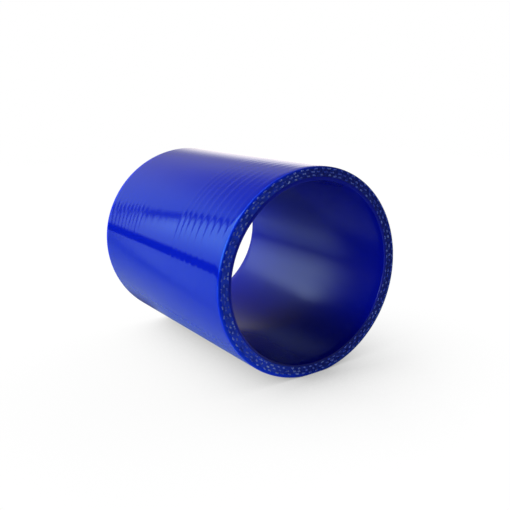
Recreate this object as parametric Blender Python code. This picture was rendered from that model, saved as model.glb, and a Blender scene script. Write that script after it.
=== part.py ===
"""Straight silicone coupler: a short fabric-reinforced hose that lies on its side.

The hose runs along Y, from its near cut end at -Y to its far cut end at +Y, and +Z is up. The origin is on the
surface that it lies on, below the middle of the hose. All lengths are in metres.
"""

import math

import bmesh
import bpy
from mathutils import Vector

# Driving dimensions of the hose as it is made
BORE_DIAMETER = 0.057
WALL_THICKNESS = 0.0042
HOSE_LENGTH = 0.076
OUTER_RIM_RADIUS = 0.0004
BORE_RIM_RADIUS = 0.0003

# How the soft hose lies: its top sinks by the sag, its sides spread by it, and it flattens where it touches
SAG = 0.00065
CONTACT_FLAT_WIDTH = 0.004

# The far end is cut by hand, a little out of square: how far its top and its -X side stand out
FAR_CUT_TOP_LEAN = 0.0007
FAR_CUT_SIDE_LEAN = 0.0009

# Fineness of the surface
FACETS_AROUND = 128
FACETS_PER_RIM = 3
SHARP_ANGLE = math.radians(40.0)
MERGE_DISTANCE = 1e-7

# Finish, as linear colour
COVER_BLUE = (0.006, 0.022, 0.560, 1.0)
COVER_ROUGHNESS = 0.25
COVER_METALLIC = 0.0

# Sizes that follow
BORE_RADIUS = BORE_DIAMETER / 2
OUTER_RADIUS = BORE_RADIUS + WALL_THICKNESS
HALF_WIDTH = OUTER_RADIUS + SAG
HALF_HEIGHT = OUTER_RADIUS - SAG
AXIS_HEIGHT = HALF_HEIGHT * math.sqrt(1 - (CONTACT_FLAT_WIDTH / 2 / HALF_WIDTH) ** 2)


def clear_scene():
    """Remove whatever the scene holds."""
    for leftover in list(bpy.data.objects):
        bpy.data.objects.remove(leftover, do_unlink=True)


def rim_arc(centre_radius, centre_along, rim_radius, start_angle):
    """Give the points of one rounded rim, a quarter turn from start_angle, in the wall's section."""
    points = []
    for step in range(FACETS_PER_RIM + 1):
        angle = start_angle + math.pi / 2 * step / FACETS_PER_RIM
        radius = centre_radius + rim_radius * math.cos(angle)
        along = centre_along + rim_radius * math.sin(angle)
        points.append((radius, along))
    return points


def wall_section():
    """Give the outline of the wall, cut along the hose, as (radius, distance along the axis) points.

    The knife leaves the cover's edge softly rounded, and the liner's edge a little tighter.
    """
    end = HOSE_LENGTH / 2
    outer = OUTER_RADIUS - OUTER_RIM_RADIUS
    inner = BORE_RADIUS + BORE_RIM_RADIUS
    section = rim_arc(outer, end - OUTER_RIM_RADIUS, OUTER_RIM_RADIUS, 0.0)
    section += rim_arc(inner, end - BORE_RIM_RADIUS, BORE_RIM_RADIUS, math.pi / 2)
    section += rim_arc(inner, BORE_RIM_RADIUS - end, BORE_RIM_RADIUS, math.pi)
    section += rim_arc(outer, OUTER_RIM_RADIUS - end, OUTER_RIM_RADIUS, 3 * math.pi / 2)
    return section


def revolve_wall(mesh):
    """Turn the wall's section once round the Y axis."""
    corners = [mesh.verts.new((radius, along, 0.0)) for radius, along in wall_section()]
    outline = [mesh.edges.new((corner, corners[index - 1])) for index, corner in enumerate(corners)]
    bmesh.ops.spin(
        mesh,
        geom=corners + outline,
        cent=(0.0, 0.0, 0.0),
        axis=(0.0, 1.0, 0.0),
        angle=2 * math.pi,
        steps=FACETS_AROUND,
    )
    bmesh.ops.remove_doubles(mesh, verts=mesh.verts, dist=MERGE_DISTANCE)


def lean_far_cut(mesh):
    """Lean the far cut out of square, with its top and its -X side standing out."""
    for corner in mesh.verts:
        if corner.co.y > 0:
            top_share = corner.co.z / OUTER_RADIUS
            side_share = -corner.co.x / OUTER_RADIUS
            corner.co.y += top_share * FAR_CUT_TOP_LEAN + side_share * FAR_CUT_SIDE_LEAN


def let_wall_sag(mesh):
    """Make the round section a little lower and wider, and lift its axis to where the contact flat is at zero."""
    sagged = (HALF_WIDTH / OUTER_RADIUS, 1.0, HALF_HEIGHT / OUTER_RADIUS)
    bmesh.ops.scale(mesh, vec=sagged, verts=mesh.verts)
    bmesh.ops.translate(mesh, vec=(0.0, 0.0, AXIS_HEIGHT), verts=mesh.verts)


def press_contact_flat(mesh):
    """Flatten the narrow strip along which the soft hose lies on its surface, at height zero."""
    whole = [*mesh.verts, *mesh.edges, *mesh.faces]
    cut = bmesh.ops.bisect_plane(
        mesh,
        geom=whole,
        dist=MERGE_DISTANCE,
        plane_co=(0.0, 0.0, 0.0),
        plane_no=(0.0, 0.0, -1.0),
        clear_outer=True,
    )
    strip_edges = [item for item in cut["geom_cut"] if isinstance(item, bmesh.types.BMEdge)]
    bmesh.ops.edgeloop_fill(mesh, edges=strip_edges)


def centre_along_hose(mesh):
    """Slide the hose along its axis until the origin is below the middle of its whole length."""
    reach = [corner.co.y for corner in mesh.verts]
    middle = (min(reach) + max(reach)) / 2
    bmesh.ops.translate(mesh, vec=Vector((0.0, -middle, 0.0)), verts=mesh.verts)


def cover_material():
    """Make the glossy blue silicone of the cover."""
    material = bpy.data.materials.new("blue_silicone")
    material.use_nodes = True
    shader = material.node_tree.nodes["Principled BSDF"]
    shader.inputs["Base Color"].default_value = COVER_BLUE
    shader.inputs["Roughness"].default_value = COVER_ROUGHNESS
    shader.inputs["Metallic"].default_value = COVER_METALLIC
    return material


def build_coupler():
    """Build the coupler, whose cover, fabric plies and liner are cured into one wall."""
    mesh = bmesh.new()
    revolve_wall(mesh)
    lean_far_cut(mesh)
    let_wall_sag(mesh)
    press_contact_flat(mesh)
    centre_along_hose(mesh)
    bmesh.ops.recalc_face_normals(mesh, faces=mesh.faces)
    data = bpy.data.meshes.new("coupler")
    mesh.to_mesh(data)
    mesh.free()
    data.shade_smooth()
    data.set_sharp_from_angle(angle=SHARP_ANGLE)
    data.materials.append(cover_material())
    coupler = bpy.data.objects.new("coupler", data)
    bpy.context.scene.collection.objects.link(coupler)
    return coupler


def main():
    """Build the whole part."""
    clear_scene()
    build_coupler()


main()
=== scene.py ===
"""Looks of a straight silicone coupler: a short blue hose with fabric plies, lying on a plain white floor.

The hose runs along Y with its near cut at -Y, and it rests on the floor at height zero. All lengths are
in metres. Each layer of the wall is a closed tube of its own: the blue cover, the fabric plies and the
dark liner. The cut ends of the plies' threads are two more pieces, one in each cut.
"""

import logging
import math
from dataclasses import dataclass, field
from enum import Enum
from typing import Any, Callable, Optional

import bmesh
import bpy
from mathutils import Matrix, Vector
from mathutils import noise as steady_noise

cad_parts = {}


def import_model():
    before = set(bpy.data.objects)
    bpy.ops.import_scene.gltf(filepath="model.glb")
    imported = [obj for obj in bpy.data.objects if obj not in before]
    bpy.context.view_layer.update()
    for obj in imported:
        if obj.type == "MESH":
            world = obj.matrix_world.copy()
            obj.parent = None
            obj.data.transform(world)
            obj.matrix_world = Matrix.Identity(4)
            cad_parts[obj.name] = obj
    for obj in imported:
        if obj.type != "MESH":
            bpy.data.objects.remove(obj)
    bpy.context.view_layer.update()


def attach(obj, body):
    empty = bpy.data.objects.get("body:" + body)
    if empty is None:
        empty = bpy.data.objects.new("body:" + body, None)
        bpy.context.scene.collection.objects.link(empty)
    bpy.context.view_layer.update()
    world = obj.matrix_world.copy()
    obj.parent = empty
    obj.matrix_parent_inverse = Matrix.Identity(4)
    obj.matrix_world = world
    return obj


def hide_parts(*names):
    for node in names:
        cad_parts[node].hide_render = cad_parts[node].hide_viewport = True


logging.basicConfig(level=logging.INFO, format="%(message)s")
log = logging.getLogger("coupler")

BODY = "root"
CAD_NODE = "coupler"

Colour = tuple[float, float, float, float]
WHITE: Colour = (1.0, 1.0, 1.0, 1.0)
FULL_TURN = 2 * math.pi

# How near two places are when they count as one
TOUCH = 1e-6

# Keeps the unevenness of the thread ends the same in every run
NOISE_SEED = 7

# The sockets of a Mix node that mixes colours
MIX_SHARE = 0
MIX_FIRST = 6
MIX_SECOND = 7
MIX_RESULT = 2


class End(Enum):
    """The two cut ends of the hose, by the side of Y that they face."""

    NEAR = -1
    FAR = 1


class Slot(Enum):
    """The finishes of the record."""

    COVER = "blue_silicone"
    PLIES = "ply_fabric"
    LINER = "liner_silicone"


# Shader recipes


@dataclass(frozen=True)
class Fade:
    """A smooth change from low to high while a value goes from start to stop."""

    start: float
    stop: float
    low: float = 0.0
    high: float = 1.0


@dataclass(frozen=True)
class Pattern:
    """Soft noise from 0 to 1: its features to the metre, how fine it is, and how it is stretched."""

    scale: float
    detail: float = 2.0
    roughness: float = 0.5
    stretch: Optional[tuple[float, float, float]] = None


@dataclass(frozen=True)
class Wire:
    """One output socket of a node. What is worked out from it is added as further nodes."""

    recipe: "Recipe"
    socket: bpy.types.NodeSocket

    def _sum(self, operation: str, left: Any, right: Any) -> "Wire":
        """Add one Math node."""
        return self.recipe.add("ShaderNodeMath", {"operation": operation}, {0: left, 1: right})

    def __add__(self, other: Any) -> "Wire":
        """Add."""
        return self._sum("ADD", self, other)

    def __radd__(self, other: Any) -> "Wire":
        """Add, written the other way round."""
        return self._sum("ADD", other, self)

    def __sub__(self, other: Any) -> "Wire":
        """Take away."""
        return self._sum("SUBTRACT", self, other)

    def __rsub__(self, other: Any) -> "Wire":
        """Take this away from a number."""
        return self._sum("SUBTRACT", other, self)

    def __mul__(self, other: Any) -> "Wire":
        """Multiply."""
        return self._sum("MULTIPLY", self, other)

    def __rmul__(self, other: Any) -> "Wire":
        """Multiply, written the other way round."""
        return self._sum("MULTIPLY", other, self)

    def angle_from(self, other: "Wire") -> "Wire":
        """Give the angle whose tangent is this over the other, in radians."""
        return self._sum("ARCTAN2", self, other)

    def of(self, operation: str) -> "Wire":
        """Apply a Math operation of one value, such as an arc sine."""
        return self.recipe.add("ShaderNodeMath", {"operation": operation}, {0: self})

    def parts(self) -> tuple["Wire", "Wire", "Wire"]:
        """Split this vector into its three parts.

        Returns:
            The parts.
        """
        outputs = self.recipe.add("ShaderNodeSeparateXYZ", {}, {0: self}).socket.node.outputs
        return Wire(self.recipe, outputs[0]), Wire(self.recipe, outputs[1]), Wire(self.recipe, outputs[2])

    def ease(self, fade: Fade) -> "Wire":
        """Run this value through a fade.

        Args:
            fade: The fade.

        Returns:
            The strength that the fade has there.
        """
        sockets = {"Value": self, "From Min": fade.start, "From Max": fade.stop}
        sockets.update({"To Min": fade.low, "To Max": fade.high})
        return self.recipe.add("ShaderNodeMapRange", {"interpolation_type": "SMOOTHSTEP"}, sockets)

    def blend(self, first: Any, second: Any) -> "Wire":
        """Mix two colours. This is the share of the second, from 0 to 1."""
        sockets = {MIX_SHARE: self, MIX_FIRST: first, MIX_SECOND: second}
        return self.recipe.add("ShaderNodeMix", {"data_type": "RGBA"}, sockets, MIX_RESULT)

    def noise(self, pattern: Pattern) -> "Wire":
        """Give a pattern's value at this place.

        Args:
            pattern: The pattern.

        Returns:
            The value, from 0 to 1.
        """
        place = self
        if pattern.stretch:
            sides = {0: self, 1: pattern.stretch}
            place = self.recipe.add("ShaderNodeVectorMath", {"operation": "MULTIPLY"}, sides)
        sockets = {"Vector": place, "Scale": pattern.scale}
        sockets.update({"Detail": pattern.detail, "Roughness": pattern.roughness})
        return self.recipe.add("ShaderNodeTexNoise", {}, sockets)

    def bump(self, depth: float, under: Optional["Wire"] = None) -> "Wire":
        """Turn this height from 0 to 1 into a normal.

        Args:
            depth: How high 1 is, in metres.
            under: The normal that it lies on, if that is bumpy too.

        Returns:
            The normal.
        """
        sockets = {"Height": self, "Distance": depth, "Strength": 1.0}
        if under is not None:
            sockets["Normal"] = under
        return self.recipe.add("ShaderNodeBump", {}, sockets)


class Recipe:
    """A node tree, and the ways in which nodes are added to it."""

    def __init__(self, tree: bpy.types.NodeTree) -> None:
        """Start with the emptied node tree of a material or of the world."""
        self.tree = tree
        tree.nodes.clear()

    def add(self, kind: str, settings: dict[str, Any], sockets: dict[Any, Any], output: Any = 0) -> Wire:
        """Add one node.

        Args:
            kind: The node's type.
            settings: The node's own settings.
            sockets: Values or wires for its inputs, by name or number.
            output: The output that is wanted, by name or number.

        Returns:
            The wanted output.
        """
        node = self.tree.nodes.new(kind)
        for name, value in settings.items():
            setattr(node, name, value)
        for name, value in sockets.items():
            if isinstance(value, Wire):
                self.tree.links.new(value.socket, node.inputs[name])
            else:
                node.inputs[name].default_value = value
        return Wire(self, node.outputs[output])

    def show(self, surface: Wire, output_kind: str) -> None:
        """Add the tree's output and hand the surface to it."""
        output = self.tree.nodes.new(output_kind)
        self.tree.links.new(surface.socket, output.inputs["Surface"])

    def place(self) -> Wire:
        """Give the place on the piece, in metres."""
        return self.add("ShaderNodeTexCoord", {}, {}, "Object")


def new_material(name: str) -> tuple[bpy.types.Material, Recipe]:
    """Make an empty material.

    Args:
        name: Its name.

    Returns:
        The material and the recipe of its nodes.
    """
    material = bpy.data.materials.new(name)
    material.use_nodes = True
    return material, Recipe(material.node_tree)


def ramp(value: float, start: float, span: float) -> float:
    """Go straight from 0 to 1 while a value goes from the start over the span, which may be negative."""
    return min(max((value - start) / span, 0.0), 1.0)


# Hand tools in edit mode


class Bench:
    """Picks and moves what is being modelled."""

    @staticmethod
    def clear() -> None:
        """Leave edit mode and pick nothing."""
        if bpy.context.object and bpy.context.object.mode != "OBJECT":
            bpy.ops.object.mode_set(mode="OBJECT")
        bpy.ops.object.select_all(action="DESELECT")

    @staticmethod
    def pick(piece: bpy.types.Object) -> None:
        """Pick one piece and nothing else.

        Args:
            piece: The piece.
        """
        Bench.clear()
        bpy.context.view_layer.objects.active = piece
        piece.select_set(True)

    @staticmethod
    def open(piece: bpy.types.Object) -> None:
        """Pick one piece and go into edit mode on it."""
        Bench.pick(piece)
        bpy.ops.object.mode_set(mode="EDIT")

    @staticmethod
    def close() -> None:
        """Go back to object mode."""
        bpy.ops.object.mode_set(mode="OBJECT")

    @staticmethod
    def pick_points(piece: bpy.types.Object, wanted: Callable[[Vector], bool]) -> int:
        """Pick the points of the open piece by their place.

        Args:
            piece: The piece in edit mode.
            wanted: Says of a point's place whether it is picked.

        Returns:
            How many points are picked.
        """
        bpy.ops.mesh.select_mode(type="VERT")
        bpy.ops.mesh.select_all(action="DESELECT")
        mesh = bmesh.from_edit_mesh(piece.data)
        count = 0
        for point in mesh.verts:
            if wanted(point.co):
                point.select = True
                count += 1
        mesh.select_flush_mode()
        bmesh.update_edit_mesh(piece.data, loop_triangles=False, destructive=False)
        return count

    @staticmethod
    def pick_edges(piece: bpy.types.Object, wanted: Callable[[Vector, Vector], bool]) -> None:
        """Pick the edges of the open piece by the places of their ends.

        Args:
            piece: The piece in edit mode.
            wanted: Says of the places of an edge's two ends whether the edge is picked.
        """
        bpy.ops.mesh.select_mode(type="EDGE")
        bpy.ops.mesh.select_all(action="DESELECT")
        mesh = bmesh.from_edit_mesh(piece.data)
        for edge in mesh.edges:
            if wanted(edge.verts[0].co, edge.verts[1].co):
                edge.select = True
        mesh.select_flush_mode()
        bmesh.update_edit_mesh(piece.data, loop_triangles=False, destructive=False)

    @staticmethod
    def finish(piece: bpy.types.Object, sharp_degrees: float) -> None:
        """Leave edit mode and smooth the piece, with its sharp edges kept.

        Args:
            piece: The piece in edit mode.
            sharp_degrees: The angle from which an edge is sharp.
        """
        Bench.close()
        bpy.ops.object.shade_smooth_by_angle(angle=math.radians(sharp_degrees))
        piece.data.update()


# Finishes


@dataclass(frozen=True)
class Finish:
    """A finish of silicone or fabric, given as the sockets of one plain shader."""

    name: str = "plain"

    def sockets(self, place: Wire) -> dict[str, Any]:
        """Give the shader's sockets, from the place on the piece."""
        raise NotImplementedError

    def make(self) -> bpy.types.Material:
        """Make the material.

        Returns:
            The material.
        """
        material, recipe = new_material(self.name)
        surface = recipe.add("ShaderNodeBsdfPrincipled", {}, self.sockets(recipe.place()))
        recipe.show(surface, "ShaderNodeOutputMaterial")
        return material


@dataclass(frozen=True)
class CoverFinish(Finish):
    """Glossy blue silicone that was cured under a tight tape wrap. Its cut is painted lighter on the left
    side, as if lit from there.
    """

    name: str = "blue_silicone"
    blue: Colour = (0.0046, 0.0190, 0.620, 1.0)
    deep_blue: Colour = (0.0042, 0.0172, 0.580, 1.0)
    # painted light: the cut band is a lighter blue on the left, where the light falls, and a darker blue on
    # the right
    lit_cut_blue: Colour = (0.0060, 0.0320, 0.920, 1.0)
    shaded_cut_blue: Colour = (0.0100, 0.0260, 0.420, 1.0)
    cut_lit_side: Fade = Fade(0.012, -0.018)
    cut_reach: Fade = Fade(0.0371, 0.0377)
    middle: float = -0.00056
    ior: float = 1.5
    shine: float = 0.95
    tint: Colour = (0.13, 0.57, 1.0, 1.0)
    gloss: tuple[float, float] = (0.05, 0.08)
    clouds: Pattern = Pattern(70.0, 3.0)
    fine_streaks: Pattern = Pattern(900.0, 2.0, stretch=(0.12, 1.0, 0.12))
    wide_streaks: Pattern = Pattern(260.0, 1.0, stretch=(0.10, 1.0, 0.10))
    wide_share: float = 0.7
    streak_depth: float = 0.000014
    peel: Pattern = Pattern(700.0, 2.0)
    peel_depth: float = 0.000010

    def sockets(self, place: Wire) -> dict[str, Any]:
        """Give the shader's sockets.

        Args:
            place: The place on the piece.

        Returns:
            Values and wires by the sockets' names.
        """
        aside, along, _ = place.parts()
        clouds = place.noise(self.clouds)
        fine = place.noise(self.fine_streaks)
        wide = place.noise(self.wide_streaks)
        skin = clouds.blend(self.deep_blue, self.blue)
        # painted light: the cut goes from the darker blue on the right to the lighter blue on the left
        cut = aside.ease(self.cut_lit_side).blend(self.shaded_cut_blue, self.lit_cut_blue)
        on_cut = (along - self.middle).of("ABSOLUTE").ease(self.cut_reach)
        low, high = self.gloss
        streaks = (self.wide_share * wide + (1.0 - self.wide_share) * fine).bump(self.streak_depth)
        return {
            "Base Color": on_cut.blend(skin, cut),
            "Roughness": low + (high - low) * (0.5 * clouds + 0.5 * fine),
            "IOR": self.ior,
            "Specular IOR Level": self.shine,
            "Specular Tint": self.tint,
            "Normal": place.noise(self.peel).bump(self.peel_depth, streaks),
        }


@dataclass(frozen=True)
class LinerFinish(Finish):
    """Satin silicone that took the dull skin of its mandrel, with painted shade darkening the bottom of the
    bore towards the near end.
    """

    name: str = "liner_silicone"
    navy: Colour = (0.0006, 0.008, 0.54, 1.0)
    deep_navy: Colour = (0.0004, 0.007, 0.50, 1.0)
    # painted shade: a darker navy laid over the bottom of the bore near the near end, where shade falls
    painted_shade_navy: Colour = (0.0001, 0.001, 0.15, 1.0)
    shade_height: Fade = Fade(0.018, 0.006)
    shade_length: Fade = Fade(0.008, -0.012)
    shade_least: float = 0.7
    shine: float = 0.85
    tint: Colour = (0.70, 0.76, 1.0, 1.0)
    satin: tuple[float, float] = (0.20, 0.26)
    clouds: Pattern = Pattern(60.0, 3.0)
    long_marks: Pattern = Pattern(1100.0, 2.0, stretch=(1.0, 0.08, 1.0))
    mark_depth: float = 0.000012

    def sockets(self, place: Wire) -> dict[str, Any]:
        """Give the shader's sockets.

        Args:
            place: The place on the piece.

        Returns:
            Values and wires by the sockets' names.
        """
        _, along, up = place.parts()
        clouds = place.noise(self.clouds)
        # painted shade, darker towards the bottom of the bore and towards the near end, broken up by the
        # clouds
        bottom_shade = up.ease(self.shade_height) * along.ease(self.shade_length)
        bottom_shade = bottom_shade * (self.shade_least + (1.0 - self.shade_least) * clouds)
        low, high = self.satin
        return {
            "Base Color": bottom_shade.blend(clouds.blend(self.deep_navy, self.navy), self.painted_shade_navy),
            "Roughness": low + (high - low) * clouds,
            "Specular IOR Level": self.shine,
            "Specular Tint": self.tint,
            "Normal": place.noise(self.long_marks).bump(self.mark_depth),
        }


@dataclass(frozen=True)
class PlyFinish(Finish):
    """Silicone-filled fabric plies as the knife leaves them, painted a lighter blue in patches on the left
    side, as if lit from there.
    """

    name: str = "ply_fabric"
    dark: Colour = (0.007, 0.013, 0.230, 1.0)
    light: Colour = (0.028, 0.060, 0.520, 1.0)
    # painted light: a lighter blue for the left side of the plies, where the light falls
    lit_ply_blue: Colour = (0.034, 0.090, 0.900, 1.0)
    grain: Pattern = Pattern(1400.0, 3.0, 0.6)
    grain_share: Fade = Fade(0.42, 0.66)
    grain_depth: float = 0.00012
    ply_lit_side: Fade = Fade(0.004, -0.025)
    lit_patches: Pattern = Pattern(260.0, 2.0)
    lit_patch_share: Fade = Fade(0.30, 0.60, 0.35, 0.95)
    roughness: float = 0.6
    shine: float = 0.2

    def sockets(self, place: Wire) -> dict[str, Any]:
        """Give the shader's sockets.

        Args:
            place: The place on the piece.

        Returns:
            Values and wires by the sockets' names.
        """
        aside, _, _ = place.parts()
        grain = place.noise(self.grain)
        bare = grain.ease(self.grain_share).blend(self.dark, self.light)
        # painted light, lighter on the left side of the cut, broken into patches
        patches = place.noise(self.lit_patches).ease(self.lit_patch_share)
        ply_painted_light = aside.ease(self.ply_lit_side) * patches
        return {
            "Base Color": ply_painted_light.blend(bare, self.lit_ply_blue),
            "Roughness": self.roughness,
            "Specular IOR Level": self.shine,
            "Normal": grain.bump(self.grain_depth),
        }


@dataclass(frozen=True)
class ThreadFinish(Finish):
    """Pale polyester thread ends, part soaked with silicone, and painted paler on the left side of the
    hose, as if lit from there.
    """

    name: str = "cut_thread"
    soaked: Colour = (0.050, 0.090, 0.700, 1.0)
    pale: Colour = (0.560, 0.650, 1.000, 1.0)
    grain: Pattern = Pattern(900.0, 2.0)
    grain_share: Fade = Fade(0.38, 0.62)
    patches: Pattern = Pattern(110.0, 1.0)
    patch_share: Fade = Fade(0.36, 0.62, 0.35, 1.0)
    # painted light: the thread ends are paler on the left side, where the light falls
    thread_lit_side: Fade = Fade(0.008, -0.020, 0.46, 0.95)
    fibres: Pattern = Pattern(6000.0, 1.0)
    fibre_depth: float = 0.00003
    roughness: float = 0.6

    def sockets(self, place: Wire) -> dict[str, Any]:
        """Give the shader's sockets.

        Args:
            place: The place on the piece.

        Returns:
            Values and wires by the sockets' names.
        """
        aside, _, _ = place.parts()
        grain = place.noise(self.grain).ease(self.grain_share)
        patches = place.noise(self.patches).ease(self.patch_share)
        # painted light: the share of pale thread is raised on the left side
        bare = grain * patches * aside.ease(self.thread_lit_side)
        return {
            "Base Color": bare.blend(self.soaked, self.pale),
            "Roughness": self.roughness,
            "Normal": place.noise(self.fibres).bump(self.fibre_depth),
        }


# The hose


@dataclass(frozen=True)
class HoseSize:
    """The sizes that all layers of the wall share, as in the solid that they stand for.

    The plies and what lies against them are shifted aside and up, and the near end's lower right wall
    swells aside and down.
    """

    bore_radius: float = 0.0285
    outer_radius: float = 0.0327
    length: float = 0.076
    sag: float = 0.00065
    contact_flat_width: float = 0.004
    far_top_lean: float = 0.0007
    far_side_lean: float = 0.0009
    lean_reach: float = 0.016
    near_swell: tuple[float, float] = (0.00095, -0.00076)
    swell_reach: float = 0.034
    centre_shift: float = -0.000563
    ply_outer_radius: float = 0.0317
    ply_inner_radius: float = 0.0293
    ply_shift: tuple[float, float] = (-0.00005, 0.0003)

    @property
    def half_width(self) -> float:
        """Half the width of the sagged hose."""
        return self.outer_radius + self.sag

    @property
    def half_height(self) -> float:
        """Half the height of the sagged hose."""
        return self.outer_radius - self.sag

    @property
    def widening(self) -> float:
        """How many times wider the hose is once it has sagged."""
        return self.half_width / self.outer_radius

    @property
    def flattening(self) -> float:
        """How many times higher the hose is once it has sagged, which is less than once."""
        return self.half_height / self.outer_radius

    @property
    def axis_height(self) -> float:
        """How high the axis lies above the floor."""
        half_flat = self.contact_flat_width / 2
        return self.half_height * math.sqrt(1 - (half_flat / self.half_width) ** 2)

    def place_on_cut(self, end: End, angle: float, radius: float) -> Vector:
        """Give a place on the plies in one of the two cuts.

        Args:
            end: Which cut.
            angle: The angle from up towards +X, in radians.
            radius: The distance from the middle of the plies before the hose sags.

        Returns:
            The place, in metres.
        """
        aside, up = self.ply_shift
        x = radius * math.sin(angle) + aside
        z = radius * math.cos(angle) + up
        y = end.value * self.length / 2
        if end is End.FAR:
            y += z / self.outer_radius * self.far_top_lean - x / self.outer_radius * self.far_side_lean
        return Vector((x * self.widening, y + self.centre_shift, self.axis_height + z * self.flattening))


@dataclass(frozen=True)
class TapeMarks:
    """The low steps that the edges of the curing tape leave round the cover.

    Each step rises slowly away from the near end and drops sharply towards the far one. The tape lay
    smooth in the middle of the hose, over the top and underneath. A ramp is a start and a span, in degrees
    from up towards +X or in metres along the hose. A seed starts the steady noise of the unevenness.
    """

    near_edges: tuple[float, ...] = (0.0026, 0.0056, 0.0088, 0.0119, 0.0155, 0.0187, 0.0219, 0.0245, 0.0272)
    middle_edges: tuple[float, ...] = (0.0309, 0.0352, 0.0398, 0.0441, 0.0482)
    far_first: float = 0.0514
    far_last_margin: float = 0.001
    far_pitch: float = 0.0026
    pitch_spread: float = 0.3
    near_height: float = 0.000024
    near_spread: float = 0.6
    near_seed: tuple[float, float] = (1.7, 0.3)
    middle_height: float = 0.000003
    far_height: float = 0.000014
    far_spread: float = 0.8
    far_seed: tuple[float, float] = (2.3, 4.0)
    drop: float = 0.0008
    rise_shape: tuple[tuple[float, float], ...] = ((0.3, 0.12), (0.6, 0.45), (0.85, 0.86), (1.0, 1.0))
    drop_shape: tuple[tuple[float, float], ...] = ((0.3, 0.80), (0.6, 0.32), (0.85, 0.06), (1.0, 0.0))
    end_margin: float = 0.0006
    top_ramp: tuple[float, float] = (-58.0, 22.0)
    bottom_ramp: tuple[float, float] = (-76.0, -10.0)
    near_ramp: tuple[float, float] = (-0.004, -0.012)
    back_angle: float = 120.0
    top_press: float = 0.62
    near_relief: float = 0.34
    bottom_press: float = 0.5
    wave_press: float = 0.45
    wave_degrees: float = 14.0
    waves_along: float = 260.0
    wave_seed: float = 5.0
    most_press: float = 0.95

    def edges(self, length: float) -> list[tuple[float, float]]:
        """Give the edges of the tape.

        Args:
            length: How long the marked stretch is.

        Returns:
            Each edge as its distance from the near end and the height of its step.
        """
        steps = []
        for index, along in enumerate(self.near_edges):
            wobble = steady_noise.noise(Vector((index * self.near_seed[0], self.near_seed[1], 0.0)))
            steps.append((along, self.near_height * (1.0 + self.near_spread * wobble)))
        for along in self.middle_edges:
            steps.append((along, self.middle_height))
        along = self.far_first
        index = 0
        while along < length - self.far_last_margin:
            wobble = steady_noise.noise(Vector((index * self.far_seed[0], self.far_seed[1], 0.0)))
            steps.append((along, self.far_height * (1.0 + self.far_spread * wobble)))
            along += self.far_pitch * (1.0 + self.pitch_spread * wobble)
            index += 1
        return steps

    def points(self, length: float) -> list[tuple[float, float]]:
        """Give the outline as (distance from the near end, height) points, whose number is odd.

        Args:
            length: How long the marked stretch is.

        Returns:
            The points from the near end to the far one.
        """
        outline = []
        before = 0.0
        for edge, tall in self.edges(length):
            rise = edge - before - self.drop
            for share, level in self.rise_shape:
                outline.append((before + self.drop + rise * share, tall * level))
            for share, level in self.drop_shape:
                outline.append((edge + self.drop * share, tall * level))
            before = edge
        margin = self.end_margin
        outline = [point for point in outline if margin < point[0] < length - margin]
        return outline if len(outline) % 2 else outline[1:]

    def pressed_share(self, angle: float, along: float) -> float:
        """Say how far the marks are pressed flat at one place of the cover.

        Args:
            angle: The angle from up towards +X, in degrees.
            along: The distance from the middle of the hose towards the far end.

        Returns:
            A share, from 0 where they keep their height to nearly 1.
        """
        seed = (angle / self.wave_degrees, along * self.waves_along, self.wave_seed)
        wave = steady_noise.noise(Vector(seed))
        above = ramp(angle, *self.top_ramp) if angle < self.back_angle else 1.0
        below = ramp(angle, *self.bottom_ramp)
        near = ramp(along, *self.near_ramp)
        top = (self.top_press - self.near_relief * near) * above
        share = top + self.bottom_press * below + self.wave_press * wave
        return min(max(share, 0.0), self.most_press)


class Cage:
    """A lattice of eight corners that bends whatever lies in it."""

    def __init__(self, centre: tuple[float, float, float], spans: tuple[float, float, float]) -> None:
        """Set the lattice up.

        Args:
            centre: Its middle.
            spans: Its whole widths.
        """
        Bench.clear()
        bpy.ops.object.add(type="LATTICE", location=centre)
        self.lattice = bpy.context.object
        self.lattice.scale = spans
        self.spans = spans
        for way in "uvw":
            setattr(self.lattice.data, f"interpolation_type_{way}", "KEY_LINEAR")

    def move(self, shift: Callable[[int, int, int], tuple[float, float, float]]) -> None:
        """Move the corners.

        Args:
            shift: Gives the shift of a corner in metres, from the three signs that name the corner.
        """
        for point in self.lattice.data.points:
            signs = [int(math.copysign(1, value)) for value in point.co]
            for axis, value in enumerate(shift(*signs)):
                point.co_deform[axis] += value / self.spans[axis]

    def apply(self, piece: bpy.types.Object) -> None:
        """Bend one piece and take the lattice away.

        Args:
            piece: The piece.
        """
        Bench.pick(piece)
        bend = piece.modifiers.new("bend", "LATTICE")
        bend.object = self.lattice
        bpy.ops.object.modifier_apply(modifier=bend.name)
        bpy.data.objects.remove(self.lattice, do_unlink=True)


def hand_over(piece: bpy.types.Object) -> None:
    """Let a finished piece ride on the body in the solid's place, and say what it holds.

    Args:
        piece: The piece.
    """
    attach(piece, BODY)
    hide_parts(CAD_NODE)
    log.info("%s: %d points, %d faces", piece.name, len(piece.data.vertices), len(piece.data.polygons))


def swell_near_end(piece: bpy.types.Object, size: HoseSize) -> None:
    """Let the lower right wall of the near end stand out a little, as it does on a soft hose.

    Args:
        piece: A layer or the near thread ends, already lying on the floor.
        size: The sizes of the hose.
    """
    reach = size.swell_reach
    across = 2 * size.outer_radius
    aside, down = size.near_swell
    near = size.centre_shift - size.length / 2
    cage = Cage((0.0, near + reach / 2, size.axis_height), (across, reach, across))
    cage.move(lambda x, y, z: (aside, 0.0, down) if (x, y, z) == (1, -1, -1) else (0.0, 0.0, 0.0))
    cage.apply(piece)


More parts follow.
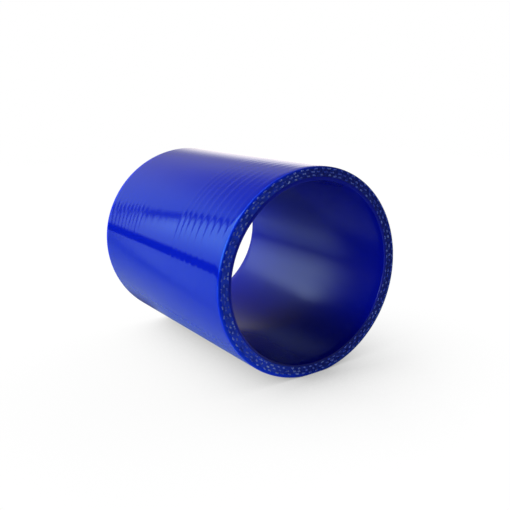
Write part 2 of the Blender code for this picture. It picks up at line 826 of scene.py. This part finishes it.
@dataclass
class WallLayer:
    """One closed tube of the wall, spun from its section."""

    name: str
    slot: Slot
    inner_radius: float
    outer_radius: float
    finish: Finish
    outer_rim: float = 0.0
    outer_rim_steps: int = 4
    inner_rim: float = 0.0
    inner_rim_steps: int = 3
    steps_around: int = 224
    end_recess: float = 0.0
    cuts_across: int = 0
    cuts_along: int = 24
    sharp_degrees: float = 50.0
    marks: Optional[TapeMarks] = None
    size: HoseSize = field(default_factory=HoseSize)

    @property
    def middle_radius(self) -> float:
        """The middle of the layer's thickness."""
        return (self.inner_radius + self.outer_radius) / 2

    @property
    def end(self) -> float:
        """How far the layer's ends are from its middle."""
        return self.size.length / 2 - self.end_recess

    def draw_section(self) -> bpy.types.Object:
        """Draw the layer's section as a closed outline beside the axis.

        Returns:
            The piece, in edit mode.
        """
        Bench.clear()
        centre = (self.middle_radius, 0.0, 0.0)
        bpy.ops.mesh.primitive_plane_add(size=1.0, location=centre)
        piece = bpy.context.object
        piece.name = self.name
        piece.data.name = self.name
        bpy.ops.object.transform_apply(location=True, rotation=True, scale=True)
        Bench.open(piece)
        thickness = self.outer_radius - self.inner_radius
        bpy.ops.transform.resize(value=(thickness, 2 * self.end, 1.0), center_override=centre)
        if self.outer_rim:
            Bench.pick_points(piece, lambda place: place.x > self.middle_radius)
            self.round_corners(self.outer_rim, self.outer_rim_steps)
        if self.inner_rim:
            Bench.pick_points(piece, lambda place: place.x < self.inner_radius + TOUCH)
            self.round_corners(self.inner_rim, self.inner_rim_steps)
        bpy.ops.mesh.select_mode(type="FACE")
        bpy.ops.mesh.select_all(action="SELECT")
        bpy.ops.mesh.delete(type="ONLY_FACE")
        return piece

    @staticmethod
    def round_corners(radius: float, steps: int) -> None:
        """Round the picked corners of the section."""
        bpy.ops.mesh.bevel(offset=radius, segments=steps, affect="VERTICES", offset_type="OFFSET")

    def divide_section(self, piece: bpy.types.Object) -> None:
        """Cut the long lines and the ends of the section into pieces.

        Args:
            piece: The section, in edit mode.
        """
        marks = self.marks.points(self.size.length) if self.marks else []
        far_out = self.outer_radius - TOUCH
        far_in = self.inner_radius + TOUCH
        Bench.pick_edges(piece, lambda a, b: min(a.x, b.x) > far_out and abs(a.y - b.y) > self.end)
        if marks:
            # One round of cuts stops at a hundred, so the line is cut in half first
            bpy.ops.mesh.subdivide(number_cuts=1)
            Bench.pick_edges(piece, lambda a, b: min(a.x, b.x) > far_out and abs(a.y - b.y) > self.end / 2)
            bpy.ops.mesh.subdivide(number_cuts=len(marks) // 2)
            self.press_marks(piece, marks)
        else:
            bpy.ops.mesh.subdivide(number_cuts=self.cuts_along)
        Bench.pick_edges(piece, lambda a, b: max(a.x, b.x) < far_in and abs(a.y - b.y) > self.end)
        bpy.ops.mesh.subdivide(number_cuts=self.cuts_along)
        if self.cuts_across:
            Bench.pick_edges(piece, self.lies_on_an_end)
            bpy.ops.mesh.subdivide(number_cuts=self.cuts_across)

    def lies_on_an_end(self, one: Vector, other: Vector) -> bool:
        """Say whether a line of the section, given by its ends, lies on an end of the layer."""
        return abs(one.y - other.y) < TOUCH / 10 and min(abs(one.y), abs(other.y)) > self.end - TOUCH

    def press_marks(self, piece: bpy.types.Object, marks: list[tuple[float, float]]) -> None:
        """Move the points of the outer line, in their order, to the outline of the tape marks.

        Args:
            piece: The section, in edit mode.
            marks: The outline, with as many points as the line.
        """
        bpy.ops.mesh.select_mode(type="VERT")
        mesh = bmesh.from_edit_mesh(piece.data)
        far_out = self.outer_radius - TOUCH
        ends = self.end - self.outer_rim - TOUCH
        line = [point for point in mesh.verts if point.co.x > far_out and abs(point.co.y) < ends]
        line.sort(key=lambda point: point.co.y)
        order = [(point.index, point.co.y) for point in line]
        for (index, old), (along, height) in zip(order, marks):
            bpy.ops.mesh.select_all(action="DESELECT")
            mesh = bmesh.from_edit_mesh(piece.data)
            mesh.verts.ensure_lookup_table()
            mesh.verts[index].select = True
            mesh.select_flush_mode()
            bpy.ops.transform.translate(value=(height, along - self.size.length / 2 - old, 0.0))

    def spin_round(self) -> None:
        """Spin the section once round the axis and close the seam."""
        bpy.ops.mesh.select_all(action="SELECT")
        bpy.ops.mesh.spin(
            steps=self.steps_around, angle=FULL_TURN, center=(0.0, 0.0, 0.0), axis=(0.0, 1.0, 0.0)
        )
        bpy.ops.mesh.select_all(action="SELECT")
        bpy.ops.mesh.remove_doubles(threshold=TOUCH)
        bpy.ops.mesh.normals_make_consistent(inside=False)

    def lean_far_cut(self, piece: bpy.types.Object) -> None:
        """Draw the far cut a little out of square, and let the wall before it follow.

        Args:
            piece: The spun layer.
        """
        size = self.size
        reach = size.lean_reach
        across = 2 * size.outer_radius
        cage = Cage((0.0, size.length / 2 - reach / 2, 0.0), (across, reach, across))
        cage.move(lambda x, y, z: (0.0, max(y, 0) * (z * size.far_top_lean - x * size.far_side_lean), 0.0))
        cage.apply(piece)

    def smooth_marks(self, piece: bpy.types.Object, marks: TapeMarks) -> None:
        """Press the tape marks nearly flat over the top and round the back, where the tape lay smooth.

        Args:
            piece: The spun cover.
            marks: The tape marks.
        """
        group = piece.vertex_groups.new(name="smooth")
        for point in piece.data.vertices:
            place = point.co
            if math.hypot(place.x, place.z) > self.outer_radius - TOUCH:
                angle = math.degrees(math.atan2(place.x, place.z))
                group.add([point.index], marks.pressed_share(angle, place.y), "REPLACE")
        Bench.clear()
        bpy.ops.object.empty_add(rotation=(math.radians(90.0), 0.0, 0.0))
        axis = bpy.context.object
        Bench.pick(piece)
        press = piece.modifiers.new("smooth", "CAST")
        press.cast_type = "CYLINDER"
        press.object = axis
        press.use_transform = True
        press.factor = 1.0
        press.radius = 0.0
        press.use_radius_as_size = False
        press.size = self.outer_radius
        press.vertex_group = group.name
        bpy.ops.object.modifier_apply(modifier=press.name)
        bpy.data.objects.remove(axis, do_unlink=True)

    def shift_plies(self, piece: bpy.types.Object) -> None:
        """Set the plies, and what lies against them, a little off the middle, as they were wrapped.

        Args:
            piece: The spun layer.
        """
        lowest = self.size.ply_inner_radius - 2 * TOUCH
        highest = self.size.ply_outer_radius + 2 * TOUCH
        aside, up = self.size.ply_shift
        Bench.open(piece)
        if Bench.pick_points(piece, lambda place: lowest < math.hypot(place.x, place.z) < highest):
            bpy.ops.transform.translate(value=(aside, 0.0, up))

    def settle(self, piece: bpy.types.Object) -> None:
        """Let the layer sag, lay it on the floor and flatten the strip that touches.

        Args:
            piece: The spun layer.
        """
        size = self.size
        Bench.open(piece)
        bpy.ops.mesh.select_all(action="SELECT")
        sagged = (size.widening, 1.0, size.flattening)
        bpy.ops.transform.resize(value=sagged, center_override=(0.0, 0.0, 0.0))
        bpy.ops.transform.translate(value=(0.0, size.centre_shift, size.axis_height))
        swell_near_end(piece, size)
        Bench.open(piece)
        if Bench.pick_points(piece, lambda place: place.z < 0.0):
            bpy.ops.transform.resize(value=(1.0, 1.0, 0.0), center_override=(0.0, 0.0, 0.0))

    def build(self) -> bpy.types.Object:
        """Build the layer and dress it.

        Returns:
            The finished piece.
        """
        piece = self.draw_section()
        self.divide_section(piece)
        self.spin_round()
        Bench.close()
        if self.marks:
            self.smooth_marks(piece, self.marks)
        self.lean_far_cut(piece)
        self.shift_plies(piece)
        self.settle(piece)
        Bench.finish(piece, self.sharp_degrees)
        piece.data.materials.append(self.finish.make())
        hand_over(piece)
        return piece


def wall_layers(size: HoseSize) -> list[WallLayer]:
    """List the layers of the wall, from the outside in.

    Args:
        size: The sizes of the hose.

    Returns:
        The cover, the plies and the liner.
    """
    cover = WallLayer("cover", Slot.COVER, size.ply_outer_radius, size.outer_radius, CoverFinish())
    cover.outer_rim = 0.00045
    cover.marks = TapeMarks()
    plies = WallLayer("plies", Slot.PLIES, size.ply_inner_radius, size.ply_outer_radius, PlyFinish())
    plies.end_recess = 0.00006
    plies.cuts_across = 6
    plies.cuts_along = 1
    liner = WallLayer("liner", Slot.LINER, size.bore_radius, size.ply_inner_radius, LinerFinish())
    liner.inner_rim = 0.00025
    return [cover, plies, liner]


@dataclass
class ThreadEnds:
    """The thread ends that show in one cut, in rows between the plies, each a bundle of a few strands.

    The rows are shares of the hose's outer radius, and spread wider on the loose side. A seed starts the
    steady noise that sets a bundle or a strand a little off its place.
    """

    end: End
    rows: tuple[float, ...] = (0.913, 0.941, 0.969)
    loose_side: float = 0.35
    around: int = 77
    row_offset: float = 0.5
    strands: int = 3
    strand_gap: float = 0.00034
    long: float = 0.00045
    wide: float = 0.00036
    proud: float = 0.00012
    sides: int = 8
    dome_inset: float = 0.14
    dome_reach: float = 0.45
    dome_height: float = 0.22
    sharp_degrees: float = 60.0
    bundle_seed: tuple[float, float, float] = (3.1, 0.73, 2.0)
    strand_seed: tuple[float, float, float, float] = (5.3, 1.37, 9.0, 4.7)
    bundle_wander: float = 0.45
    gap_spread: float = 0.8
    bundle_drift: float = 0.00016
    strand_drift: float = 0.00022
    most_twist: float = 1.2
    width_spread: float = 0.6
    height_spread: float = 0.8
    size: HoseSize = field(default_factory=HoseSize)

    def model_one(self) -> bpy.types.Object:
        """Model one strand with a domed tip.

        Returns:
            The strand, which points along +Z with its long side along Y.
        """
        Bench.clear()
        bpy.ops.mesh.primitive_cylinder_add(
            vertices=self.sides, radius=0.5, depth=1.0, location=(0.0, 0.0, 0.0)
        )
        strand = bpy.context.object
        Bench.open(strand)
        Bench.pick_points(strand, lambda place: place.z > 0.0)
        bpy.ops.mesh.inset(thickness=self.dome_inset, depth=0.0)
        Bench.pick_points(strand, lambda place: place.z > 0.0 and place.xy.length < self.dome_reach)
        bpy.ops.transform.translate(value=(0.0, 0.0, self.dome_height))
        bpy.ops.mesh.select_all(action="SELECT")
        spans = (self.wide, self.long, self.proud * 2)
        bpy.ops.transform.resize(value=spans, center_override=(0.0, 0.0, 0.0))
        Bench.finish(strand, self.sharp_degrees)
        return strand

    def wander(self, row: int, index: int) -> Vector:
        """Give the three steady random values of a bundle."""
        by_row, by_index, start = self.bundle_seed
        return steady_noise.noise_vector(Vector((row * by_row + self.end.value, index * by_index, start)))

    def jitter(self, row: int, index: int, strand: int) -> Vector:
        """Give the three steady random values of a strand.

        Args:
            row: The row of its bundle.
            index: The place of its bundle in the row.
            strand: Its place in the bundle.

        Returns:
            The values, each about -1 to 1.
        """
        by_row, by_index, start, by_strand = self.strand_seed
        seed = (row * by_row + self.end.value, index * by_index, start + strand * by_strand)
        return steady_noise.noise_vector(Vector(seed))

    def place_one(self, pattern: bpy.types.Object, row: int, index: int, strand: int) -> bpy.types.Object:
        """Set one copy of the strand into the cut.

        Args:
            pattern: The strand that is copied.
            row: The row of its bundle.
            index: The place of its bundle in the row.
            strand: Its place in the bundle.

        Returns:
            The copy, with its own mesh.
        """
        copy = bpy.data.objects.new("thread", pattern.data.copy())
        bpy.context.scene.collection.objects.link(copy)
        wander = self.wander(row, index)
        jitter = self.jitter(row, index, strand)
        aside = (strand - (self.strands - 1) / 2) * self.strand_gap / self.size.outer_radius
        steps = index + self.row_offset * (row % 2) + self.bundle_wander * wander.x
        angle = steps * (FULL_TURN / self.around) + aside * (1.0 + self.gap_spread * wander.z)
        middle = sum(self.rows) / len(self.rows)
        spread = 1.0 + self.loose_side * max(math.sin(angle), 0.0)
        radius = (middle + (self.rows[row] - middle) * spread) * self.size.outer_radius
        radius += self.bundle_drift * wander.y + self.strand_drift * jitter.y
        centre = self.size.place_on_cut(self.end, angle, radius)
        outward = Vector((math.sin(angle), 0.0, math.cos(angle)))
        tip = Vector((0.0, float(self.end.value), 0.0))
        turn = Matrix((outward.cross(tip), outward, tip)).transposed().to_4x4()
        twist = Matrix.Rotation(self.most_twist * jitter.z, 4, "Z")
        wider = 1.0 + self.width_spread * jitter.y
        longer = 1.0 + self.width_spread * jitter.z
        taller = 1.0 + self.height_spread * jitter.x
        own_size = Matrix.Diagonal((wider, longer, taller, 1.0))
        copy.matrix_world = Matrix.Translation(centre) @ turn @ twist @ own_size
        return copy

    def build(self, material: bpy.types.Material) -> bpy.types.Object:
        """Build all thread ends of this cut as one piece.

        Args:
            material: The finish that they wear.

        Returns:
            The finished piece.
        """
        pattern = self.model_one()
        copies = []
        for row in range(len(self.rows)):
            for index in range(self.around):
                for strand in range(self.strands):
                    copies.append(self.place_one(pattern, row, index, strand))
        bpy.data.objects.remove(pattern, do_unlink=True)
        bpy.context.view_layer.update()
        Bench.clear()
        for copy in copies:
            copy.select_set(True)
        bpy.context.view_layer.objects.active = copies[0]
        bpy.ops.object.join()
        piece = bpy.context.object
        piece.name = f"thread_ends_{self.end.name.lower()}"
        piece.data.name = piece.name
        bpy.ops.object.transform_apply(location=True, rotation=True, scale=True)
        if self.end is End.NEAR:
            swell_near_end(piece, self.size)
        piece.data.materials.clear()
        piece.data.materials.append(material)
        hand_over(piece)
        return piece


# The studio


@dataclass(frozen=True)
class Sky:
    """A direction: its azimuth and elevation in degrees, and how far it points to the far end."""

    azimuth: Wire
    elevation: Wire
    ahead: Wire


@dataclass(frozen=True)
class StudioLight:
    """Plain soft light all round, with a few broad panels. To the camera it is white.

    Azimuth goes from +Y towards +X. A fade runs over azimuth or elevation in degrees, or over how far a
    direction points to the far end.
    """

    cool: Colour = (0.84, 1.04, 1.20, 1.0)
    warm: Colour = (1.00, 0.92, 0.86, 1.0)
    warm_side: Fade = Fade(-32.0, 12.0)
    right_half_end: Fade = Fade(179.0, 140.0)
    wall_height: Fade = Fade(25.0, 37.0, 0.54, 0.18)
    wall_front: Fade = Fade(-0.5, 0.2, 0.3, 1.0)
    dimmer_side: Fade = Fade(-12.0, 15.0)
    dimmer_share: float = 0.2
    left_start: Fade = Fade(-23.6, -27.0)
    left_stop: Fade = Fade(-150.0, -130.0)
    left_foot: Fade = Fade(0.0, 18.0, 0.4, 1.0)
    left_to_side: Fade = Fade(-42.0, -60.0, 1.40, 3.2)
    side_to_behind: Fade = Fade(-84.0, -94.0, 1.0, 0.875)
    high_left: Fade = Fade(20.0, 50.0, 0.0, 1.4)
    left_top: Fade = Fade(28.0, 38.0, 0.0, 0.85)
    left_top_start: Fade = Fade(-38.0, -46.0)
    beside_start: Fade = Fade(-86.0, -104.0)
    beside_top: Fade = Fade(18.0, 30.0)
    seam_start: Fade = Fade(-24.8, -23.6)
    seam_stop: Fade = Fade(-20.5, -22.8)
    seam_share: float = 0.85
    right_start: Fade = Fade(20.0, 33.0)
    right_stop: Fade = Fade(120.0, 95.0)
    right_height: Fade = Fade(20.0, 7.0, 0.0, 1.05)
    top_height: Fade = Fade(45.0, 55.0)
    top_front: Fade = Fade(-0.15, 0.1)
    top_glow: float = 0.30
    gap_height: Fade = Fade(1.6, -0.8)
    gap_side: Fade = Fade(8.0, -8.0)

    def walls(self, sky: Sky) -> Wire:
        """Give the glow of the walls and the ceiling.

        Args:
            sky: The direction.

        Returns:
            The glow.
        """
        dimmer = sky.azimuth.ease(self.dimmer_side) * sky.azimuth.ease(self.right_half_end)
        glow = sky.elevation.ease(self.wall_height) * sky.ahead.ease(self.wall_front)
        return glow * (1.0 - self.dimmer_share * dimmer)

    def left_panels(self, sky: Sky) -> Wire:
        """Give the glow of the panels on the left, beside the hose and behind the camera's left shoulder.

        Args:
            sky: The direction.

        Returns:
            The glow.
        """
        glow = sky.elevation.ease(self.left_foot) * sky.azimuth.ease(self.left_to_side)
        glow = glow * sky.azimuth.ease(self.side_to_behind)
        glow = glow + sky.elevation.ease(self.high_left)
        top = sky.elevation.ease(self.left_top) * sky.azimuth.ease(self.left_top_start)
        beside = sky.azimuth.ease(self.beside_start) * sky.elevation.ease(self.beside_top)
        return glow * (1.0 - top) * (1.0 - beside)

    def right_panel(self, sky: Sky) -> Wire:
        """Give the glow of the low panel on the right."""
        across = sky.azimuth.ease(self.right_start) * sky.azimuth.ease(self.right_stop)
        return across * sky.elevation.ease(self.right_height)

    def top_panel(self, sky: Sky) -> Wire:
        """Give the glow of the panel overhead."""
        over = sky.elevation.ease(self.top_height) * sky.ahead.ease(self.top_front)
        return over * self.top_glow

    def glow(self, sky: Sky) -> Wire:
        """Give the whole glow of one direction.

        Args:
            sky: The direction.

        Returns:
            The glow, with the dark seam and the dark gap above the floor taken out of it.
        """
        walls = self.walls(sky)
        in_left = sky.azimuth.ease(self.left_start) * sky.azimuth.ease(self.left_stop)
        seam = sky.azimuth.ease(self.seam_start) * sky.azimuth.ease(self.seam_stop)
        gap = sky.elevation.ease(self.gap_height) * sky.azimuth.ease(self.gap_side)
        glow = walls + in_left * (self.left_panels(sky) - walls)
        glow = glow * (1.0 - self.seam_share * seam)
        glow = glow + self.right_panel(sky) + self.top_panel(sky)
        return glow * (1.0 - gap)

    def hang(self) -> None:
        """Make the world."""
        world = bpy.data.worlds.new("studio")
        bpy.context.scene.world = world
        world.use_nodes = True
        recipe = Recipe(world.node_tree)
        x, y, z = recipe.add("ShaderNodeTexCoord", {}, {}, "Generated").parts()
        degrees = math.degrees(1.0)
        sky = Sky(x.angle_from(y) * degrees, z.of("ARCSINE") * degrees, y)
        glow = self.glow(sky)
        seen = recipe.add("ShaderNodeLightPath", {}, {}, "Is Camera Ray")
        warm = sky.azimuth.ease(self.warm_side) * sky.azimuth.ease(self.right_half_end)
        tone = seen.blend(warm.blend(self.cool, self.warm), WHITE)
        strength = glow + (1.0 - glow) * seen
        surface = recipe.add("ShaderNodeBackground", {}, {"Color": tone, "Strength": strength})
        recipe.show(surface, "ShaderNodeOutputWorld")


@dataclass(frozen=True)
class Floor:
    """A white floor that keeps the soft shade of what stands on it.

    To reflected light it has plain colours: one near the hose, one far to its left, and one in front and
    behind the bore. The box gives its left, front, right and back edges.
    """

    box: tuple[float, float, float, float] = (-0.226, -0.60, 0.60, 0.60)
    near: Colour = (0.74, 0.84, 0.86, 1.0)
    far: Colour = (0.32, 0.47, 0.85, 1.0)
    front: Colour = (0.12, 0.15, 0.26, 1.0)
    near_side: Fade = Fade(-0.075, -0.028)
    front_end: Fade = Fade(-0.13, -0.04)
    bore_end: Fade = Fade(0.030, 0.045)
    bore_side: Fade = Fade(-0.030, -0.015)
    gloss: float = 0.05
    ior: float = 1.5
    white: float = 1.01
    shadow_reach: float = 0.08
    shadow_samples: int = 16
    behind: tuple[float, float, float] = (0.50, 0.80, 0.33)
    beside: tuple[float, float, float] = (-0.90, 0.30, 0.30)
    soft_shadow: float = 0.107
    deep_shadow: float = 1.90

    def hidden(self, recipe: Recipe, towards: tuple[float, float, float]) -> Wire:
        """Give how much of the light from one side is hidden by what stands within the shadow's reach.

        Args:
            recipe: The floor's recipe.
            towards: The side that the light comes from.

        Returns:
            The hidden share.
        """
        normal = recipe.add("ShaderNodeCombineXYZ", {}, dict(enumerate(towards)))
        sockets = {"Distance": self.shadow_reach, "Normal": normal}
        settings = {"samples": self.shadow_samples}
        return 1.0 - recipe.add("ShaderNodeAmbientOcclusion", settings, sockets, "AO")

    def seen_white(self, recipe: Recipe) -> Wire:
        """Give the white that the camera sees, with the shade in it.

        Args:
            recipe: The floor's recipe.

        Returns:
            A glowing surface.
        """
        beside = self.hidden(recipe, self.beside)
        shade = self.hidden(recipe, self.behind) * (self.soft_shadow + self.deep_shadow * beside)
        return recipe.add("ShaderNodeEmission", {}, {"Strength": (1.0 - shade) * self.white})

    def reflected(self, recipe: Recipe) -> Wire:
        """Give what the hose mirrors of the floor.

        Args:
            recipe: The floor's recipe.

        Returns:
            A plain surface with a faint gloss.
        """
        x, y, _ = recipe.place().parts()
        colour = x.ease(self.near_side).blend(self.far, self.near)
        colour = y.ease(self.front_end).blend(self.front, colour)
        behind_bore = y.ease(self.bore_end) * x.ease(self.bore_side)
        colour = behind_bore.blend(colour, self.front)
        plain = recipe.add("ShaderNodeBsdfDiffuse", {}, {"Color": colour})
        mirror = recipe.add("ShaderNodeBsdfGlossy", {}, {"Roughness": self.gloss})
        sheen = recipe.add("ShaderNodeFresnel", {}, {"IOR": self.ior})
        return recipe.add("ShaderNodeMixShader", {}, {0: sheen, 1: plain, 2: mirror})

    def lay(self) -> bpy.types.Object:
        """Lay the floor.

        Returns:
            The floor.
        """
        Bench.clear()
        left, front, right, back = self.box
        centre = ((left + right) / 2, (front + back) / 2, 0.0)
        bpy.ops.mesh.primitive_plane_add(size=1.0, location=centre)
        floor = bpy.context.object
        floor.name = "floor"
        bpy.ops.object.transform_apply(location=True, rotation=True, scale=True)
        Bench.open(floor)
        bpy.ops.transform.resize(value=(right - left, back - front, 1.0), center_override=centre)
        Bench.close()
        material, recipe = new_material("floor_white")
        seen = recipe.add("ShaderNodeLightPath", {}, {}, "Is Camera Ray")
        sides = {0: seen, 1: self.reflected(recipe), 2: self.seen_white(recipe)}
        recipe.show(recipe.add("ShaderNodeMixShader", {}, sides), "ShaderNodeOutputMaterial")
        floor.data.materials.append(material)
        return floor


@dataclass(frozen=True)
class Camera:
    """A camera above the near end's left, whose frame is shifted a little aside."""

    place: tuple[float, float, float] = (-0.118904, -0.181110, 0.084763)
    forward: tuple[float, float, float] = (0.573326, 0.781779, -0.245193)
    sensor_width: float = 36.0
    lens: float = 45.679
    shift_pixels: float = -20.0
    frame_pixels: float = 510.0
    nearest: float = 0.001
    farthest: float = 50.0

    def set_up(self) -> bpy.types.Object:
        """Make the camera and hand it to the scene.

        Returns:
            The camera.
        """
        data = bpy.data.cameras.new("camera")
        data.sensor_width = self.sensor_width
        data.lens = self.lens
        data.shift_x = self.shift_pixels / self.frame_pixels
        data.clip_start = self.nearest
        data.clip_end = self.farthest
        camera = bpy.data.objects.new("camera", data)
        bpy.context.scene.collection.objects.link(camera)
        camera.location = self.place
        camera.rotation_mode = "QUATERNION"
        camera.rotation_quaternion = Vector(self.forward).to_track_quat("-Z", "Y")
        bpy.context.scene.camera = camera
        return camera


def main() -> None:
    """Dress the whole part and set up the studio."""
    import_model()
    steady_noise.seed_set(NOISE_SEED)
    bpy.context.scene.view_settings.view_transform = "Standard"
    for layer in wall_layers(HoseSize()):
        layer.build()
    thread = ThreadFinish().make()
    for end in End:
        ThreadEnds(end).build(thread)
    StudioLight().hang()
    Floor().lay()
    Camera().set_up()


if __name__ == "__main__":
    main()
